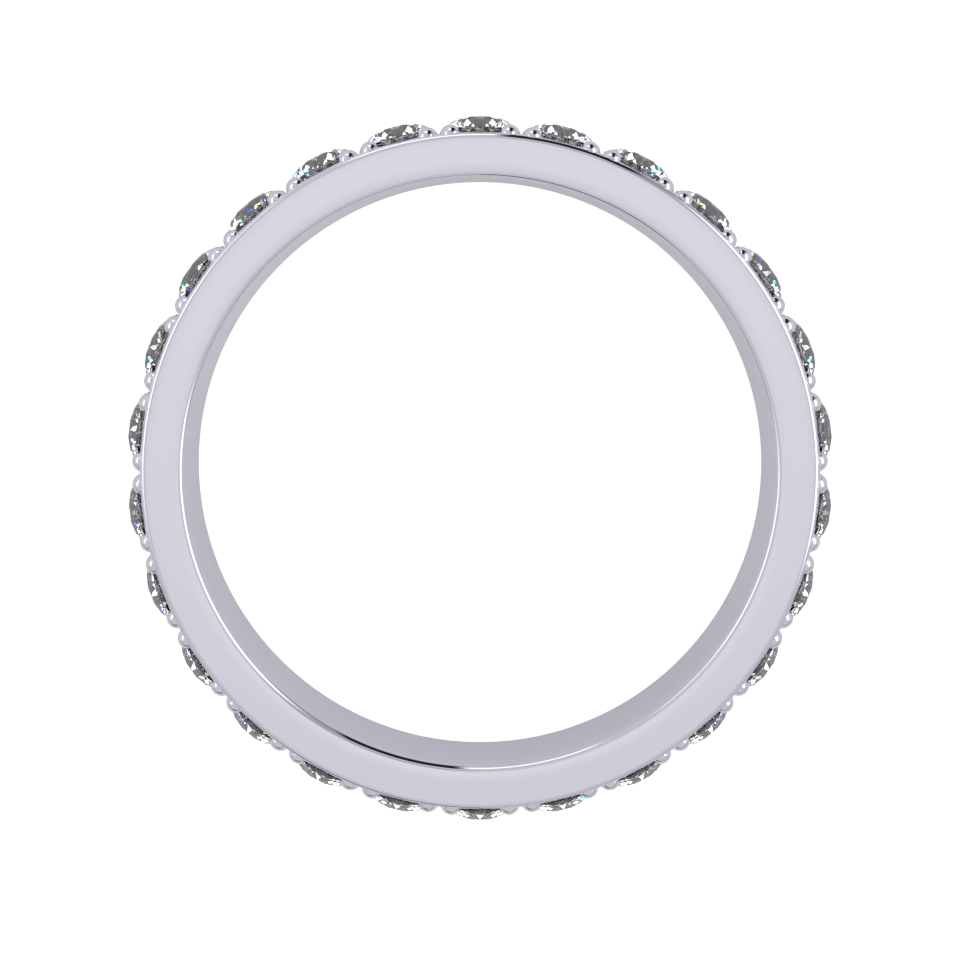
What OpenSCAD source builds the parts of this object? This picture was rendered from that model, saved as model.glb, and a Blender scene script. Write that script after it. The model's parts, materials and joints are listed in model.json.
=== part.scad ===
// Eternity ring: a plain flat-sided band in white metal, set all round with round brilliant
// diamonds. Each diamond sits in its own conical seat and is held by four round prongs.
// Millimetres. The ring lies flat on one side: its axis is +Z, and the origin is the middle
// of the side that it rests on.

/* [Finger] */
// Inside diameter, which sets the finger size
bore_d = 16.9; // [16.5:0.1:18.5]

/* [Band] */
// Width of the band along the finger
band_w = 2.4; // [2.4:0.1:3]
// Thickness of the wall from the bore to the rim
wall = 1.28; // [1.22:0.01:1.5]
// Rounding of the outer edges
rim_round = 0.2; // [0.1:0.01:0.22]
// Small rounding where a side turns into the bore
bore_round = 0.18; // [0.12:0.01:0.25]
// Radius of the soft easing of each side towards the bore
ease_r = 1.08; // [0.8:0.02:1.1]
// Slope of that easing where it meets the small rounding, in degrees
ease_slope = 16; // [8:1:20]

/* [Stones] */
// Number of diamonds round the band
stone_count = 26; // [22:1:26]
// Diameter of a diamond at its girdle
stone_d = 2.2; // [2.1:0.05:2.2]
// Table width as a share of the diameter
table_share = 0.57; // [0.53:0.01:0.62]
// Angle of the crown's main facets, in degrees
crown_angle = 34.5; // [32:0.5:36]
// Angle of the pavilion's main facets, in degrees
pavilion_angle = 40.75; // [40:0.25:42]
// Thickness of the girdle at its thick places
girdle_t = 0.055; // [0.05:0.005:0.08]
// Height of the tables above the rim
table_h = 0.48; // [0.46:0.01:0.5]

/* [Prongs] */
// Diameter of a prong and of the ball that rounds its top
prong_d = 0.64; // [0.62:0.01:0.66]
// Height of the prongs' round tops above the rim
prong_h = 0.22; // [0.2:0.01:0.24]
// Distance from a stone's middle to its prongs, measured round the band
prong_round = 0.83; // [0.82:0.01:0.85]
// Distance from a stone's middle to its prongs, measured across the band
prong_across = 0.84; // [0.8:0.01:0.85]

/* [Seats] */
// Gap between a stone and the metal round it
seat_gap = 0.02; // [0.01:0.005:0.03]
// Diameter of the drilled hole under the point of a stone
drill_d = 0.5; // [0.3:0.05:0.7]
// Room between the point of a stone and the floor of that hole
drill_room = 0.05; // [0.03:0.01:0.1]

/* [Hidden] */
$fn = 96;
bore_r = bore_d / 2;
rim_r = bore_r + wall;
half_w = band_w / 2;
pitch = 360 / stone_count;

// Centres of the section's arcs, as [radius, height over the band's middle]
rim_c = [rim_r - rim_round, half_w - rim_round];
ease_c = [bore_r + bore_round + (ease_r - bore_round) * sin(ease_slope), half_w - ease_r];
bore_c = [bore_r + bore_round, ease_c[1] + (ease_r - bore_round) * cos(ease_slope)];

// Size of the pieces that cut the inner corners, well past the section
cut_size = 2 * ease_r;

// Heights along a stone's axis, measured from the ring's axis
stone_r = stone_d / 2;
table_r = stone_r * table_share;
table_z = rim_r + table_h;
girdle_top = table_z - (stone_r - table_r) * tan(crown_angle);
girdle_low = girdle_top - girdle_t;
culet_z = girdle_low - stone_r * tan(pavilion_angle);

// The star facets and the lower girdle facets end at these radii
star_r = (stone_r + table_r * cos(22.5)) / 2;
lower_r = stone_r * 0.23;

function stone_name(i) = str(i < 10 ? "stone_0" : "stone_", i);

// A point on a circle of the stone, at an angle and a height
function ring_point(r, angle, z) = [r * cos(angle), r * sin(angle), z];

// Height of the plane through three points, at a place on the girdle's cylinder
function plane_z(a, b, c, angle) =
    let (n = cross(b - a, c - a), p = ring_point(stone_r, angle, 0))
    a[2] - (n[0] * (p[0] - a[0]) + n[1] * (p[1] - a[1])) / n[2];

// What is cut from the outer corner of the section to round it
module rim_corner() {
    difference() {
        translate(rim_c) square(2 * rim_round);
        translate(rim_c) circle(rim_round);
    }
}

// What is cut from the side of the section to ease it towards the bore
module side_easing() {
    difference() {
        translate([ease_c[0] - cut_size, ease_c[1]]) square(cut_size);
        translate(ease_c) circle(ease_r);
    }
}

// What is cut from the inner corner of the section, from the bore up to the easing
module bore_corner() {
    outward = cut_size * [-sin(ease_slope), cos(ease_slope)];
    inward = [-cut_size, 0];
    difference() {
        polygon([bore_c, bore_c + outward, bore_c + outward + inward, bore_c + inward]);
        translate(bore_c) circle(bore_round);
    }
}

// Section of the band: a rectangle whose corners are cut back to arcs
module section() {
    difference() {
        translate([bore_r, -half_w]) square([wall, band_w]);
        for (side = [0, 1]) mirror([0, side]) {
            rim_corner();
            side_easing();
            bore_corner();
        }
    }
}

// Puts its children at stone i, with their Z axis along the stone's axis
module at_stone(i) {
    translate([0, 0, half_w])
        rotate([0, 0, 90 - (i - 1) * pitch])
            rotate([0, 90, 0])
                children();
}

// The four prongs of a stone, each a post whose round top is part of a ball sunk in the rim
module prongs() {
    bead_z = rim_r + prong_h - prong_d / 2;
    root_z = rim_r - wall / 3;
    for (x = [-1, 1], y = [-1, 1])
        translate([x * prong_across, y * prong_round, 0]) {
            translate([0, 0, root_z]) cylinder(h = bead_z - root_z, d = prong_d);
            translate([0, 0, bead_z]) sphere(d = prong_d);
        }
}

// Room for a stone: its own cones and girdle with the gap added, and the drilled hole below
module seat() {
    reach = stone_r + seat_gap;
    rotate_extrude()
        polygon([
            [0, culet_z - drill_room],
            [drill_d / 2, culet_z - drill_room],
            [drill_d / 2, girdle_low - seat_gap - (reach - drill_d / 2) * tan(pavilion_angle)],
            [reach, girdle_low - seat_gap],
            [reach, girdle_top + seat_gap],
            [0, girdle_top + seat_gap + reach * tan(crown_angle)]
        ]);
}

module band() {
    color([0.80, 0.80, 0.84])
        difference() {
            union() {
                translate([0, 0, half_w]) rotate_extrude() section();
                for (i = [1 : stone_count]) at_stone(i) prongs();
            }
            for (i = [1 : stone_count]) at_stone(i) seat();
        }
}

// Round brilliant with its table, star, main and girdle facets, and its point on the axis.
// The girdle has 32 sides and is scalloped where the facets beside it end.
module brilliant() {
    star_z = girdle_top + (stone_r - star_r * cos(22.5)) * tan(crown_angle);
    lower_z = girdle_low - (stone_r - lower_r * cos(22.5)) * tan(pavilion_angle);
    main = ring_point(stone_r, 0, girdle_top);
    half = ring_point(stone_r, 22.5, girdle_top);
    dip_top = plane_z(ring_point(star_r, 22.5, star_z), main, half, 11.25);
    rise_low = girdle_low + girdle_top
        - plane_z(ring_point(lower_r, 22.5, girdle_top + girdle_low - lower_z), main, half, 11.25);
    // Rings of points: 0 table, 8 stars, 16 girdle top, 48 girdle low, 80 lower, 88 culet
    points = [
        for (k = [0 : 7]) ring_point(table_r, k * 45, table_z),
        for (k = [0 : 7]) ring_point(star_r, k * 45 + 22.5, star_z),
        for (k = [0 : 31]) ring_point(stone_r, k * 11.25, k % 2 == 0 ? girdle_top : dip_top),
        for (k = [0 : 31]) ring_point(stone_r, k * 11.25, k % 2 == 0 ? girdle_low : rise_low),
        for (k = [0 : 7]) ring_point(lower_r, k * 45 + 22.5, lower_z),
        [0, 0, culet_z]
    ];
    faces = [
        [for (k = [7 : -1 : 0]) k],
        for (k = [0 : 7]) [k, (k + 1) % 8, 8 + k],
        for (k = [0 : 7]) [k, 8 + k, 16 + 4 * k, 8 + (k + 7) % 8],
        for (k = [0 : 7]) [8 + k, 16 + 4 * k + 2, 16 + 4 * k + 1, 16 + 4 * k],
        for (k = [0 : 7]) [8 + k, 16 + (4 * k + 4) % 32, 16 + 4 * k + 3, 16 + 4 * k + 2],
        for (k = [0 : 31]) [16 + k, 16 + (k + 1) % 32, 48 + (k + 1) % 32, 48 + k],
        for (k = [0 : 7]) [80 + k, 48 + 4 * k, 48 + 4 * k + 1, 48 + 4 * k + 2],
        for (k = [0 : 7]) [80 + k, 48 + 4 * k + 2, 48 + 4 * k + 3, 48 + (4 * k + 4) % 32],
        for (k = [0 : 7]) [88, 80 + (k + 7) % 8, 48 + 4 * k, 80 + k]
    ];
    polyhedron(points, faces);
}

// A stone in its place, with an edge of its table along each side of the band
module stone(i) {
    color([0.90, 0.94, 0.98])
        at_stone(i) rotate([0, 0, 22.5]) brilliant();
}

band();
for (i = [1 : stone_count])
    stone(i);
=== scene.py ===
"""An eternity ring lying on its side on a pale studio floor, seen along the finger hole."""

import json
import math

import bmesh
import bpy
import numpy as np
from mathutils import Matrix, Vector


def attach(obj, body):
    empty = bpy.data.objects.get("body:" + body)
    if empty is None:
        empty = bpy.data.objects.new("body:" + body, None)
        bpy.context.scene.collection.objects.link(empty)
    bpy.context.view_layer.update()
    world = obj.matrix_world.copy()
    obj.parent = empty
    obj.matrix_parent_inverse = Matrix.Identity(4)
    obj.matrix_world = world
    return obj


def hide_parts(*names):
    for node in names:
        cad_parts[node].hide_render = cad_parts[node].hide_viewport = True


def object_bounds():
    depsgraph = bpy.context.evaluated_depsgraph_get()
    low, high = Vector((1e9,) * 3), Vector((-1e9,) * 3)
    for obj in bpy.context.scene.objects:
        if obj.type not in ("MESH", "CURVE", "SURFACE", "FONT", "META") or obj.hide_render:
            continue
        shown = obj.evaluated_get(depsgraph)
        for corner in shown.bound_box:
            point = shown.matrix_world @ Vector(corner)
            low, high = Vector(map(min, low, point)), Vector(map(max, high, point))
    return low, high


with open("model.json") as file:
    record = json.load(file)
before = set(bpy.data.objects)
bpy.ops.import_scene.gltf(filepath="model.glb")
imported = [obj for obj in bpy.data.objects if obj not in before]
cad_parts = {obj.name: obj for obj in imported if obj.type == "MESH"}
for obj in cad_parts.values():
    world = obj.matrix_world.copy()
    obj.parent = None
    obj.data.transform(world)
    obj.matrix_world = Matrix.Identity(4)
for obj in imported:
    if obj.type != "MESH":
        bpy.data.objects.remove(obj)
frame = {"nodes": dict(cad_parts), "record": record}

cad_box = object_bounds()

# The photograph's view, measured from the middle of the band
VIEW_TILT = math.radians(2.13)  # off the ring's axis, towards stone 1
VIEW_DISTANCE = 0.0405
VIEW_RISE = 0.003773  # how far above the ring's middle the lens's axis passes it
LENS_MM = 51.77
LENS_SHIFT = -0.1458  # brings the ring back into the picture
SENSOR_MM = 36.0

# Sizes of the stage
FLOOR_SIZE = 2.4
FLOOR_DROP = 0.00001

# The floor's grey, its glow as the camera sees it, also through the stones, its glow in reflections,
# and what the camera sees beyond it
FLOOR_ALBEDO = 0.6
FLOOR_GLOW = 0.8
FLOOR_GLOW_REFLECTED = 0.2
BACKGROUND = 1.0

# The oval panel of light overhead: its place and half sizes on the unit sphere, where its soft edge starts
# and ends as shares of those sizes, and its brightness at two places along Y, with a smooth step between them
PANEL_Y = -0.16
PANEL_HALF_WIDTH = 0.31
PANEL_HALF_DEPTH = 0.35
PANEL_EDGE = (0.8, 1.25)
PANEL_STEP_Y = (-0.45, 0.12)
PANEL_LIGHTS = (0.775, 0.88)

# The space round the panel: its brightness overhead and at the horizon, and the zenith angles between them
SPACE_LIGHTS = (0.66, 0.75)
SPACE_STEP_ZENITH = (62, 80)

# Patches of the studio that the metal reflects, as (from azimuth, to azimuth, their softness, from zenith
# angle, to zenith angle, their softness, brightness), in degrees, with azimuth clockwise from stone 1
METAL_PATCHES = (
    (5, 62, 16, 13, 21, 3, 0.4),
    (-104, -55, 24, 46, 68, 6, 1.5),
    (-60, -42, 8, 48, 64, 6, 1.1),
    (-26, 4, 6, 56, 72, 6, 1.6),
    (28, 50, 8, 30, 105, 6, 0.36),
    (46, 112, 18, 38, 66, 6, 1.9),
    (4, 32, 4, 40, 102, 6, 0.02),
    (108, 202, 10, 76, 92, 6, 0.4),
    (-150, -108, 10, 76, 92, 6, 0.4),
    (-182, -146, 10, 74, 94, 6, 0.1),
)

# The same for what the stones show: a darker space with brighter lamps, the first of them all the way
# round. A stone parts the colours, so red, green and blue see the lamps moved by these degrees.
STONE_SPACE_LIGHT = 0.01
STONE_PATCHES = (
    (-200, 200, 2, 62, 76, 2, 3.5),
    (-122, -46, 2, 40, 70, 2, 3.5),
    (-28, 6, 2, 50, 74, 2, 3.5),
    (38, 124, 2, 38, 68, 2, 3.5),
)
FIRE_SHIFTS = (-1.5, 0, 1.5)

# Sizes of the band's section in millimetres and degrees, the same as the model's source has
MM = 0.001
WALL = 1.28
RIM_ROUND = 0.2
BORE_ROUND = 0.18
EASE_R = 1.08
EASE_SLOPE = 16
BORE_R = frame["record"]["mounts"][0]["dims"]["r_mm"]
HALF_W = (cad_box[1].z - cad_box[0].z) / MM / 2
RIM_R = BORE_R + WALL

# Sizes of the stones, their prongs and their seats in millimetres and degrees, from the same source
STONE_COUNT = sum(name.startswith("stone_") for name in frame["nodes"])
STONE_R = 1.1
TABLE_SHARE = 0.57
CROWN_ANGLE = 34.5
PAVILION_ANGLE = 40.75
GIRDLE_T = 0.055
TABLE_H = 0.48
PRONG_R = 0.32
PRONG_H = 0.22
PRONG_ROOT = WALL / 3  # how deep its foot lies in the band
PRONG_ROUND = 0.83  # from the stone's middle, measured round the band
PRONG_ACROSS = 0.84  # and measured across it
PRONG_PLACES = [(x, z) for x in (-PRONG_ROUND, PRONG_ROUND) for z in (-PRONG_ACROSS, PRONG_ACROSS)]
SEAT_GAP = 0.02
DRILL_R = 0.25
DRILL_ROOM = 0.05

# How finely the band is meshed
SECTOR_STEPS = 16
BORE_ROUND_STEPS = 12
EASE_STEPS = 6
RIM_ROUND_STEPS = 14
PRONG_SIDES = 32
BEAD_STEPS = 10
SEAT_SIDES = 64
WELD_MM = 0.0001

# Looks of the polished metal, of the metal in the cut seats, whose dark grey is painted shade under the
# stones, and of the stones
POLISHED_COLOUR = (0.780, 0.775, 0.870, 1.0)
POLISHED_ROUGHNESS = 0.04
# The seats' colour is painted shade: the same white gold, made dark grey because little light reaches it
# under the stones
SEAT_SHADE_COLOUR = (0.22, 0.22, 0.24, 1.0)
CUT_ROUGHNESS = 0.03
DIAMOND_IOR = 2.42


def new_tree(owner):
    """The owner's emptied node tree."""
    owner.use_nodes = True
    tree = owner.node_tree
    tree.nodes.clear()
    return tree


def feed(tree, socket, value):
    """Links a socket to another one, or sets it to a plain value."""
    if isinstance(value, bpy.types.NodeSocket):
        tree.links.new(value, socket)
    else:
        socket.default_value = value


def calculate(tree, operation, *values):
    """A Math node's result."""
    node = tree.nodes.new("ShaderNodeMath")
    node.operation = operation
    for socket, value in zip(node.inputs, values):
        feed(tree, socket, value)
    return node.outputs["Value"]


def ramp(tree, value, start, end, low=0.0, high=1.0):
    """A smooth step from low, where value is at start, to high, where it is at end."""
    node = tree.nodes.new("ShaderNodeMapRange")
    node.interpolation_type = "SMOOTHSTEP"
    feed(tree, node.inputs["Value"], value)
    node.inputs["From Min"].default_value = start
    node.inputs["From Max"].default_value = end
    node.inputs["To Min"].default_value = low
    node.inputs["To Max"].default_value = high
    return node.outputs["Result"]


def blended(tree, share, first, second):
    """A number that goes from first to second as share goes from 0 to 1."""
    node = tree.nodes.new("ShaderNodeMix")
    feed(tree, node.inputs["Factor"], share)
    feed(tree, node.inputs["A"], first)
    feed(tree, node.inputs["B"], second)
    return node.outputs["Result"]


def patch(tree, azimuth, zenith, sides):
    """1 inside a patch of the sky with soft edges, and 0 outside."""
    azimuth_from, azimuth_to, soft_across, zenith_from, zenith_to, soft_along = sides
    across = calculate(
        tree, "MULTIPLY",
        ramp(tree, azimuth, azimuth_from - soft_across / 2, azimuth_from + soft_across / 2),
        ramp(tree, azimuth, azimuth_to - soft_across / 2, azimuth_to + soft_across / 2, 1.0, 0.0),
    )
    along = calculate(
        tree, "MULTIPLY",
        ramp(tree, zenith, zenith_from - soft_along / 2, zenith_from + soft_along / 2),
        ramp(tree, zenith, zenith_to - soft_along / 2, zenith_to + soft_along / 2, 1.0, 0.0),
    )
    return calculate(tree, "MULTIPLY", across, along)


def with_patches(tree, light, azimuth, zenith, patches):
    """A light with patches of other brightness over it."""
    for *sides, brightness in patches:
        light = blended(tree, patch(tree, azimuth, zenith, sides), light, brightness)
    return light


def add_studio():
    """The light round the ring. The camera itself sees a plain pale background."""
    world = bpy.data.worlds.new("studio")
    bpy.context.scene.world = world
    tree = new_tree(world)
    coordinates = tree.nodes.new("ShaderNodeTexCoord")
    split = tree.nodes.new("ShaderNodeSeparateXYZ")
    tree.links.new(coordinates.outputs["Generated"], split.inputs["Vector"])
    x, y, z = split.outputs
    zenith = calculate(tree, "DEGREES", calculate(tree, "ARCCOSINE", z))
    azimuth = calculate(tree, "DEGREES", calculate(tree, "ARCTAN2", x, y))

    across = calculate(tree, "DIVIDE", x, PANEL_HALF_WIDTH)
    along = calculate(tree, "DIVIDE", calculate(tree, "SUBTRACT", y, PANEL_Y), PANEL_HALF_DEPTH)
    square = calculate(tree, "MULTIPLY", across, across)
    reach = calculate(tree, "SQRT", calculate(tree, "MULTIPLY_ADD", along, along, square))
    beyond = ramp(tree, reach, *PANEL_EDGE)
    panel = ramp(tree, y, *PANEL_STEP_Y, *PANEL_LIGHTS)

    space = ramp(tree, zenith, *SPACE_STEP_ZENITH, *SPACE_LIGHTS)
    on_metal = with_patches(tree, blended(tree, beyond, panel, space), azimuth, zenith, METAL_PATCHES)
    dark_space = blended(tree, beyond, panel, STONE_SPACE_LIGHT)

    path = tree.nodes.new("ShaderNodeLightPath")
    colour = tree.nodes.new("ShaderNodeCombineColor")
    for socket, shift in zip(colour.inputs, FIRE_SHIFTS):
        moved_azimuth = calculate(tree, "ADD", azimuth, shift)
        moved_zenith = calculate(tree, "ADD", zenith, shift)
        in_stones = with_patches(tree, dark_space, moved_azimuth, moved_zenith, STONE_PATCHES)
        light = blended(tree, path.outputs["Is Transmission Ray"], on_metal, in_stones)
        feed(tree, socket, blended(tree, path.outputs["Is Camera Ray"], light, BACKGROUND))
    background = tree.nodes.new("ShaderNodeBackground")
    tree.links.new(colour.outputs["Color"], background.inputs["Color"])
    output = tree.nodes.new("ShaderNodeOutputWorld")
    tree.links.new(background.outputs["Background"], output.inputs["Surface"])


def add_floor():
    """A pale floor under the ring, which the camera sees brightened to white."""
    half = FLOOR_SIZE / 2
    corners = [(-half, -half, 0), (half, -half, 0), (half, half, 0), (-half, half, 0)]
    mesh = bpy.data.meshes.new("floor")
    mesh.from_pydata(corners, [], [(0, 1, 2, 3)])
    floor = bpy.data.objects.new("floor", mesh)
    floor.location.z = -FLOOR_DROP
    bpy.context.scene.collection.objects.link(floor)

    material = bpy.data.materials.new("pale_floor")
    tree = new_tree(material)
    diffuse = tree.nodes.new("ShaderNodeBsdfDiffuse")
    diffuse.inputs["Color"].default_value = (FLOOR_ALBEDO, FLOOR_ALBEDO, FLOOR_ALBEDO, 1.0)
    glow = tree.nodes.new("ShaderNodeEmission")
    path = tree.nodes.new("ShaderNodeLightPath")
    seen = calculate(tree, "MAXIMUM", path.outputs["Is Camera Ray"], path.outputs["Is Transmission Ray"])
    reflected = calculate(tree, "MULTIPLY", path.outputs["Is Glossy Ray"], FLOOR_GLOW_REFLECTED)
    strength = calculate(tree, "MAXIMUM", calculate(tree, "MULTIPLY", seen, FLOOR_GLOW), reflected)
    tree.links.new(strength, glow.inputs["Strength"])
    both = tree.nodes.new("ShaderNodeAddShader")
    tree.links.new(diffuse.outputs["BSDF"], both.inputs[0])
    tree.links.new(glow.outputs["Emission"], both.inputs[1])
    output = tree.nodes.new("ShaderNodeOutputMaterial")
    tree.links.new(both.outputs["Shader"], output.inputs["Surface"])
    mesh.materials.append(material)


def add_camera():
    """The camera at the photograph's angle, above the floor."""
    lowest, highest = cad_box
    middle = Vector((0.0, 0.0, (lowest.z + highest.z) / 2))
    right = Vector((1.0, 0.0, 0.0))
    up = Vector((0.0, math.cos(VIEW_TILT), -math.sin(VIEW_TILT)))
    back = Vector((0.0, math.sin(VIEW_TILT), math.cos(VIEW_TILT)))
    data = bpy.data.cameras.new("camera")
    data.lens = LENS_MM
    data.sensor_width = SENSOR_MM
    data.shift_y = LENS_SHIFT
    data.clip_start = VIEW_DISTANCE / 100
    data.clip_end = 2 * FLOOR_SIZE
    camera = bpy.data.objects.new("camera", data)
    place = Matrix((right, up, back)).transposed().to_4x4()
    place.translation = middle + VIEW_RISE * up + VIEW_DISTANCE * back
    camera.matrix_world = place
    bpy.context.scene.collection.objects.link(camera)
    bpy.context.scene.camera = camera


def white_metal(name, colour, roughness):
    """White gold, polished, or painted dark grey as the shade in the seats under the stones."""
    material = bpy.data.materials.new(name)
    tree = new_tree(material)
    shader = tree.nodes.new("ShaderNodeBsdfPrincipled")
    shader.inputs["Base Color"].default_value = colour
    shader.inputs["Metallic"].default_value = 1.0
    shader.inputs["Roughness"].default_value = roughness
    output = tree.nodes.new("ShaderNodeOutputMaterial")
    tree.links.new(shader.outputs["BSDF"], output.inputs["Surface"])
    return material


def diamond():
    """Clear diamond."""
    material = bpy.data.materials.new("diamond")
    tree = new_tree(material)
    shader = tree.nodes.new("ShaderNodeBsdfPrincipled")
    shader.inputs["Base Color"].default_value = (1.0, 1.0, 1.0, 1.0)
    shader.inputs["Roughness"].default_value = 0.0
    shader.inputs["IOR"].default_value = DIAMOND_IOR
    shader.inputs["Transmission Weight"].default_value = 1.0
    output = tree.nodes.new("ShaderNodeOutputMaterial")
    tree.links.new(shader.outputs["BSDF"], output.inputs["Surface"])
    return material


def arc(centre, radius, start, end, steps):
    """Points from one angle to another on a circle of the section, in degrees from the outward radius."""
    angles = np.radians(np.linspace(start, end, steps + 1))
    return [(centre[0] + radius * math.cos(t), centre[1] + radius * math.sin(t)) for t in angles]


def section_arcs():
    """The upper arcs of the band's section, as (centre, radius, from angle, to angle, steps)."""
    turn = math.radians(EASE_SLOPE)
    reach = EASE_R - BORE_ROUND
    ease = (BORE_R + BORE_ROUND + reach * math.sin(turn), HALF_W - EASE_R)
    bore = (BORE_R + BORE_ROUND, ease[1] + reach * math.cos(turn))
    rim = (RIM_R - RIM_ROUND, HALF_W - RIM_ROUND)
    return (
        (bore, BORE_ROUND, 180, 90 + EASE_SLOPE, BORE_ROUND_STEPS),
        (ease, EASE_R, 90 + EASE_SLOPE, 90, EASE_STEPS),
        (rim, RIM_ROUND, 90, 0, RIM_ROUND_STEPS),
    )


def section_outline():
    """The band's section as (radius, height) points in one closed loop."""
    bore, ease, rim = section_arcs()
    upper = arc(*bore) + arc(*ease)[1:] + arc(*rim)
    return upper + [(r, -z) for r, z in reversed(upper)]


def seat_outline():
    """Half the outline of a seat, as (distance from the stone's axis, height along it)."""
    girdle_top = RIM_R + TABLE_H - STONE_R * (1 - TABLE_SHARE) * math.tan(math.radians(CROWN_ANGLE))
    low = girdle_top - GIRDLE_T - SEAT_GAP
    high = girdle_top + SEAT_GAP
    reach = STONE_R + SEAT_GAP
    floor = girdle_top - GIRDLE_T - STONE_R * math.tan(math.radians(PAVILION_ANGLE)) - DRILL_ROOM
    return [
        (0, floor),
        (DRILL_R, floor),
        (DRILL_R, low - (reach - DRILL_R) * math.tan(math.radians(PAVILION_ANGLE))),
        (reach, low),
        (reach, high),
        (0, high + reach * math.tan(math.radians(CROWN_ANGLE))),
    ]


def prong_outline():
    """Half the outline of a prong, from its root in the band to the top of its bead."""
    bead = (0, RIM_R + PRONG_H - PRONG_R)
    root = RIM_R - PRONG_ROOT
    dome = arc(bead, PRONG_R, 0, 90, BEAD_STEPS)
    return [(0, root), (PRONG_R, root), *dome[:-1], (0, bead[1] + PRONG_R)]


def lathe(outline, sides, place=(0, 0)):
    """Vertices and faces of an outline turned round a line along Y through a place in X and Z."""
    vertices = []
    faces = []
    rings = []
    for radius, height in outline:
        rings.append(len(vertices))
        for side in range(sides if radius else 1):
            turn = 2 * math.pi * side / sides
            vertices.append((place[0] + radius * math.cos(turn), height, place[1] + radius * math.sin(turn)))
    for low, high, start, end in zip(outline, outline[1:], rings, rings[1:]):
        for side in range(sides):
            after = (side + 1) % sides
            lower = [start + side, start + after] if low[0] else [start]
            upper = [end + after, end + side] if high[0] else [end]
            faces.append(lower + upper)
    return vertices, faces


def sector():
    """Vertices and faces of the plain band's share for one stone, closed at both ends."""
    outline = section_outline()
    count = len(outline)
    half_turn = math.pi / STONE_COUNT
    vertices = []
    for turn in np.linspace(-half_turn, half_turn, SECTOR_STEPS + 1):
        vertices += [(r * math.sin(turn), r * math.cos(turn), z) for r, z in outline]
    faces = [tuple(range(count)), tuple(range(SECTOR_STEPS * count, (SECTOR_STEPS + 1) * count))]
    for step in range(SECTOR_STEPS):
        for k in range(count):
            start = step * count
            after = (k + 1) % count
            faces.append((start + k, start + after, start + count + after, start + count + k))
    return vertices, faces


def solid(name, material, *parts):
    """An object made of closed parts, each as vertices and faces, with its faces turned outwards."""
    mesh = bpy.data.meshes.new(name)
    mesh.materials.append(material)
    shape = bmesh.new()
    for vertices, faces in parts:
        points = [shape.verts.new(v) for v in vertices]
        for face in faces:
            shape.faces.new([points[k] for k in face])
    bmesh.ops.recalc_face_normals(shape, faces=shape.faces)
    shape.to_mesh(mesh)
    shape.free()
    made = bpy.data.objects.new(name, mesh)
    bpy.context.scene.collection.objects.link(made)
    return made


def cut_sector(polished, shaded_seat):
    """The mesh of one sector with its four prongs and its seat."""
    body = solid("sector", polished, sector())
    posts = [lathe(prong_outline(), PRONG_SIDES, place) for place in PRONG_PLACES]
    prongs = solid("prongs", polished, *posts)
    seat = solid("seat", shaded_seat, lathe(seat_outline(), SEAT_SIDES))
    for other, operation in ((prongs, "UNION"), (seat, "DIFFERENCE")):
        modifier = body.modifiers.new(operation, "BOOLEAN")
        modifier.solver = "EXACT"
        modifier.material_mode = "TRANSFER"
        modifier.operation = operation
        modifier.object = other
    graph = bpy.context.evaluated_depsgraph_get()
    mesh = bpy.data.meshes.new_from_object(body.evaluated_get(graph))
    for made in (body, prongs, seat):
        bpy.data.objects.remove(made)
    return mesh


def whole_band(mesh):
    """Repeats the sector round the ring and welds the copies."""
    shape = bmesh.new()
    shape.from_mesh(mesh)
    half_turn = math.pi / STONE_COUNT
    for side in (-1, 1):
        across = Vector((math.cos(half_turn), -side * math.sin(half_turn), 0))
        caps = [f for f in shape.faces if all(abs(v.co.dot(across)) < WELD_MM for v in f.verts)]
        bmesh.ops.delete(shape, geom=caps, context="FACES_ONLY")
    first = shape.verts[:] + shape.edges[:] + shape.faces[:]
    for k in range(1, STONE_COUNT):
        copy = bmesh.ops.duplicate(shape, geom=first)["geom"]
        turn = Matrix.Rotation(-2 * half_turn * k, 3, "Z")
        bmesh.ops.rotate(shape, verts=[g for g in copy if isinstance(g, bmesh.types.BMVert)], matrix=turn)
    bmesh.ops.remove_doubles(shape, verts=shape.verts, dist=WELD_MM)
    for face in shape.faces:
        face.smooth = True
    shape.to_mesh(mesh)
    shape.free()


def add_band(polished, shaded_seat):
    """The band as one smooth mesh in place of the model's coarser one, with the metal in the seats painted
    dark as the shade under the stones.
    """
    mesh = cut_sector(polished, shaded_seat)
    whole_band(mesh)
    mesh.transform(Matrix.Translation((0, 0, HALF_W * MM)) @ Matrix.Scale(MM, 4))
    band = bpy.data.objects.new("polished_band", mesh)
    bpy.context.scene.collection.objects.link(band)
    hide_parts("band")
    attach(band, "root")


def dress_stones(material):
    """Gives the model's stones their material and keeps their facets flat."""
    for name in frame["nodes"]:
        if name.startswith("stone_"):
            mesh = frame["nodes"][name].data
            mesh.materials.clear()
            mesh.materials.append(material)
            mesh.shade_flat()


add_studio()
add_floor()
add_camera()
polished_metal = white_metal("polished_metal", POLISHED_COLOUR, POLISHED_ROUGHNESS)
shaded_seat_metal = white_metal("shaded_seat_metal", SEAT_SHADE_COLOUR, CUT_ROUGHNESS)
add_band(polished_metal, shaded_seat_metal)
dress_stones(diamond())

scene = bpy.context.scene
scene.view_settings.view_transform = "Standard"
scene.cycles.max_bounces = 20
scene.cycles.transmission_bounces = 16
scene.cycles.glossy_bounces = 8
